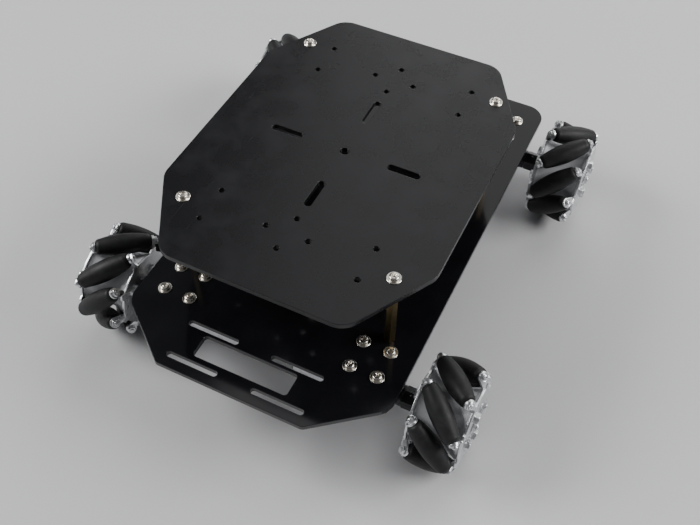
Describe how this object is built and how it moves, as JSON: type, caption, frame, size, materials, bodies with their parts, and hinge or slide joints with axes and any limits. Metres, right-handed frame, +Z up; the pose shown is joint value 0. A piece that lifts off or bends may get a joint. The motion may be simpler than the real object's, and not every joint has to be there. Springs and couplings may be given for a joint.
{
  "type": "four wheel robot chassis",
  "caption": "Two-deck acrylic robot chassis on hex standoffs, driven by geared motors through wheels with free angled barrel rollers.",
  "frame": {"origin": "middle of the footprint on the floor plane: halfway between the lower plate's front edge and the back of the rear wheels, midway between left and right wheels", "axes": "+X to the robot's right, +Y to its rear (the nose with the window faces -Y), +Z up"},
  "size_m": [0.2282, 0.2684, 0.1038],
  "materials": {
    "satin_acrylic": "satin black laser-cut acrylic",
    "gloss_acrylic": "polished black laser-cut acrylic",
    "nickel_screw": "bright nickel-plated pan head",
    "brass": "turned brass, lightly tarnished",
    "black_bracket": "black powder coat on folded steel",
    "motor_steel": "drawn steel can, satin",
    "black_anodised": "black anodised, satin",
    "plated_steel": "bright zinc-plated stamping",
    "satin_aluminium": "satin turned aluminium",
    "black_plastic": "moulded, matt",
    "roller_rubber": "matt black moulded rubber"
  },
  "bodies": {
    "chassis": {"deck": "satin_acrylic", "lower_plate": "gloss_acrylic", "deck_screw_fl": "nickel_screw", "deck_screw_fr": "nickel_screw", "deck_screw_rl": "nickel_screw", "deck_screw_rr": "nickel_screw", "standoff_fl": "brass", "standoff_fr": "brass", "standoff_rl": "brass", "standoff_rr": "brass", "motor_bracket_fl": "black_bracket", "gearmotor_fl": "motor_steel", "motor_bracket_fr": "black_bracket", "gearmotor_fr": "motor_steel", "motor_bracket_rl": "black_bracket", "gearmotor_rl": "motor_steel", "motor_bracket_rr": "black_bracket", "gearmotor_rr": "motor_steel"},
    "wheel_fl": {"shaft_coupling_fl": "black_anodised", "wheel_frame_fl": "plated_steel"},
    "roller_fl_1": {"roller_fl_1": "roller_rubber"},
    "roller_fl_2": {"roller_fl_2": "roller_rubber"},
    "roller_fl_3": {"roller_fl_3": "roller_rubber"},
    "roller_fl_4": {"roller_fl_4": "roller_rubber"},
    "roller_fl_5": {"roller_fl_5": "roller_rubber"},
    "roller_fl_6": {"roller_fl_6": "roller_rubber"},
    "roller_fl_7": {"roller_fl_7": "roller_rubber"},
    "roller_fl_8": {"roller_fl_8": "roller_rubber"},
    "wheel_fr": {"shaft_coupling_fr": "black_anodised", "wheel_frame_fr": "plated_steel"},
    "roller_fr_1": {"roller_fr_1": "roller_rubber"},
    "roller_fr_2": {"roller_fr_2": "roller_rubber"},
    "roller_fr_3": {"roller_fr_3": "roller_rubber"},
    "roller_fr_4": {"roller_fr_4": "roller_rubber"},
    "roller_fr_5": {"roller_fr_5": "roller_rubber"},
    "roller_fr_6": {"roller_fr_6": "roller_rubber"},
    "roller_fr_7": {"roller_fr_7": "roller_rubber"},
    "roller_fr_8": {"roller_fr_8": "roller_rubber"},
    "wheel_rl": {"shaft_coupling_rl": "black_anodised", "wheel_frame_rl": "plated_steel"},
    "roller_rl_1": {"roller_rl_1": "roller_rubber"},
    "roller_rl_2": {"roller_rl_2": "roller_rubber"},
    "roller_rl_3": {"roller_rl_3": "roller_rubber"},
    "roller_rl_4": {"roller_rl_4": "roller_rubber"},
    "roller_rl_5": {"roller_rl_5": "roller_rubber"},
    "roller_rl_6": {"roller_rl_6": "roller_rubber"},
    "roller_rl_7": {"roller_rl_7": "roller_rubber"},
    "roller_rl_8": {"roller_rl_8": "roller_rubber"},
    "wheel_rr": {"shaft_coupling_rr": "black_anodised", "wheel_frame_rr": "plated_steel"},
    "roller_rr_1": {"roller_rr_1": "roller_rubber"},
    "roller_rr_2": {"roller_rr_2": "roller_rubber"},
    "roller_rr_3": {"roller_rr_3": "roller_rubber"},
    "roller_rr_4": {"roller_rr_4": "roller_rubber"},
    "roller_rr_5": {"roller_rr_5": "roller_rubber"},
    "roller_rr_6": {"roller_rr_6": "roller_rubber"},
    "roller_rr_7": {"roller_rr_7": "roller_rubber"},
    "roller_rr_8": {"roller_rr_8": "roller_rubber"}
  },
  "joints": [
    {"name": "wheel_fl_spin", "type": "hinge", "parent": "chassis", "child": "wheel_fl", "pos_m": [-0.097, -0.08575, 0.03], "axis": [1, 0, 0], "continuous": true},
    {"name": "roller_fl_1_spin", "type": "hinge", "parent": "wheel_fl", "child": "roller_fl_1", "pos_m": [-0.097, -0.07994, 0.05329], "axis": [-0.7071, -0.6861, 0.1711], "continuous": true},
    {"name": "roller_fl_2_spin", "type": "hinge", "parent": "wheel_fl", "child": "roller_fl_2", "pos_m": [-0.097, -0.06518, 0.04236], "axis": [-0.7071, -0.3642, 0.6061], "continuous": true},
    {"name": "roller_fl_3_spin", "type": "hinge", "parent": "wheel_fl", "child": "roller_fl_3", "pos_m": [-0.097, -0.06246, 0.02419], "axis": [-0.7071, 0.1711, 0.6861], "continuous": true},
    {"name": "roller_fl_4_spin", "type": "hinge", "parent": "wheel_fl", "child": "roller_fl_4", "pos_m": [-0.097, -0.07339, 0.00943], "axis": [-0.7071, 0.6061, 0.3642], "continuous": true},
    {"name": "roller_fl_5_spin", "type": "hinge", "parent": "wheel_fl", "child": "roller_fl_5", "pos_m": [-0.097, -0.09156, 0.00671], "axis": [-0.7071, 0.6861, -0.1711], "continuous": true},
    {"name": "roller_fl_6_spin", "type": "hinge", "parent": "wheel_fl", "child": "roller_fl_6", "pos_m": [-0.097, -0.10632, 0.01764], "axis": [-0.7071, 0.3642, -0.6061], "continuous": true},
    {"name": "roller_fl_7_spin", "type": "hinge", "parent": "wheel_fl", "child": "roller_fl_7", "pos_m": [-0.097, -0.10904, 0.03581], "axis": [-0.7071, -0.1711, -0.6861], "continuous": true},
    {"name": "roller_fl_8_spin", "type": "hinge", "parent": "wheel_fl", "child": "roller_fl_8", "pos_m": [-0.097, -0.09811, 0.05057], "axis": [-0.7071, -0.6061, -0.3642], "continuous": true},
    {"name": "wheel_fr_spin", "type": "hinge", "parent": "chassis", "child": "wheel_fr", "pos_m": [0.097, -0.08575, 0.03], "axis": [1, 0, 0], "continuous": true},
    {"name": "roller_fr_1_spin", "type": "hinge", "parent": "wheel_fr", "child": "roller_fr_1", "pos_m": [0.097, -0.07994, 0.05329], "axis": [0.7071, -0.6861, 0.1711], "continuous": true},
    {"name": "roller_fr_2_spin", "type": "hinge", "parent": "wheel_fr", "child": "roller_fr_2", "pos_m": [0.097, -0.09811, 0.05057], "axis": [0.7071, -0.6061, -0.3642], "continuous": true},
    {"name": "roller_fr_3_spin", "type": "hinge", "parent": "wheel_fr", "child": "roller_fr_3", "pos_m": [0.097, -0.10904, 0.03581], "axis": [0.7071, -0.1711, -0.6861], "continuous": true},
    {"name": "roller_fr_4_spin", "type": "hinge", "parent": "wheel_fr", "child": "roller_fr_4", "pos_m": [0.097, -0.10632, 0.01764], "axis": [0.7071, 0.3642, -0.6061], "continuous": true},
    {"name": "roller_fr_5_spin", "type": "hinge", "parent": "wheel_fr", "child": "roller_fr_5", "pos_m": [0.097, -0.09156, 0.00671], "axis": [0.7071, 0.6861, -0.1711], "continuous": true},
    {"name": "roller_fr_6_spin", "type": "hinge", "parent": "wheel_fr", "child": "roller_fr_6", "pos_m": [0.097, -0.07339, 0.00943], "axis": [0.7071, 0.6061, 0.3642], "continuous": true},
    {"name": "roller_fr_7_spin", "type": "hinge", "parent": "wheel_fr", "child": "roller_fr_7", "pos_m": [0.097, -0.06246, 0.02419], "axis": [0.7071, 0.1711, 0.6861], "continuous": true},
    {"name": "roller_fr_8_spin", "type": "hinge", "parent": "wheel_fr", "child": "roller_fr_8", "pos_m": [0.097, -0.06518, 0.04236], "axis": [0.7071, -0.3642, 0.6061], "continuous": true},
    {"name": "wheel_rl_spin", "type": "hinge", "parent": "chassis", "child": "wheel_rl", "pos_m": [-0.097, 0.10425, 0.03], "axis": [1, 0, 0], "continuous": true},
    {"name": "roller_rl_1_spin", "type": "hinge", "parent": "wheel_rl", "child": "roller_rl_1", "pos_m": [-0.097, 0.11439, 0.05175], "axis": [-0.7071, 0.6409, -0.2988], "continuous": true},
    {"name": "roller_rl_2_spin", "type": "hinge", "parent": "wheel_rl", "child": "roller_rl_2", "pos_m": [-0.097, 0.1268, 0.03821], "axis": [-0.7071, 0.2418, -0.6645], "continuous": true},
    {"name": "roller_rl_3_spin", "type": "hinge", "parent": "wheel_rl", "child": "roller_rl_3", "pos_m": [-0.097, 0.126, 0.01986], "axis": [-0.7071, -0.2988, -0.6409], "continuous": true},
    {"name": "roller_rl_4_spin", "type": "hinge", "parent": "wheel_rl", "child": "roller_rl_4", "pos_m": [-0.097, 0.11246, 0.00745], "axis": [-0.7071, -0.6645, -0.2418], "continuous": true},
    {"name": "roller_rl_5_spin", "type": "hinge", "parent": "wheel_rl", "child": "roller_rl_5", "pos_m": [-0.097, 0.09411, 0.00825], "axis": [-0.7071, -0.6409, 0.2988], "continuous": true},
    {"name": "roller_rl_6_spin", "type": "hinge", "parent": "wheel_rl", "child": "roller_rl_6", "pos_m": [-0.097, 0.0817, 0.02179], "axis": [-0.7071, -0.2418, 0.6645], "continuous": true},
    {"name": "roller_rl_7_spin", "type": "hinge", "parent": "wheel_rl", "child": "roller_rl_7", "pos_m": [-0.097, 0.0825, 0.04014], "axis": [-0.7071, 0.2988, 0.6409], "continuous": true},
    {"name": "roller_rl_8_spin", "type": "hinge", "parent": "wheel_rl", "child": "roller_rl_8", "pos_m": [-0.097, 0.09604, 0.05255], "axis": [-0.7071, 0.6645, 0.2418], "continuous": true},
    {"name": "wheel_rr_spin", "type": "hinge", "parent": "chassis", "child": "wheel_rr", "pos_m": [0.097, 0.10425, 0.03], "axis": [1, 0, 0], "continuous": true},
    {"name": "roller_rr_1_spin", "type": "hinge", "parent": "wheel_rr", "child": "roller_rr_1", "pos_m": [0.097, 0.11439, 0.05175], "axis": [0.7071, 0.6409, -0.2988], "continuous": true},
    {"name": "roller_rr_2_spin", "type": "hinge", "parent": "wheel_rr", "child": "roller_rr_2", "pos_m": [0.097, 0.09604, 0.05255], "axis": [0.7071, 0.6645, 0.2418], "continuous": true},
    {"name": "roller_rr_3_spin", "type": "hinge", "parent": "wheel_rr", "child": "roller_rr_3", "pos_m": [0.097, 0.0825, 0.04014], "axis": [0.7071, 0.2988, 0.6409], "continuous": true},
    {"name": "roller_rr_4_spin", "type": "hinge", "parent": "wheel_rr", "child": "roller_rr_4", "pos_m": [0.097, 0.0817, 0.02179], "axis": [0.7071, -0.2418, 0.6645], "continuous": true},
    {"name": "roller_rr_5_spin", "type": "hinge", "parent": "wheel_rr", "child": "roller_rr_5", "pos_m": [0.097, 0.09411, 0.00825], "axis": [0.7071, -0.6409, 0.2988], "continuous": true},
    {"name": "roller_rr_6_spin", "type": "hinge", "parent": "wheel_rr", "child": "roller_rr_6", "pos_m": [0.097, 0.11246, 0.00745], "axis": [0.7071, -0.6645, -0.2418], "continuous": true},
    {"name": "roller_rr_7_spin", "type": "hinge", "parent": "wheel_rr", "child": "roller_rr_7", "pos_m": [0.097, 0.126, 0.01986], "axis": [0.7071, -0.2988, -0.6409], "continuous": true},
    {"name": "roller_rr_8_spin", "type": "hinge", "parent": "wheel_rr", "child": "roller_rr_8", "pos_m": [0.097, 0.1268, 0.03821], "axis": [0.7071, 0.2418, -0.6645], "continuous": true}
  ]
}
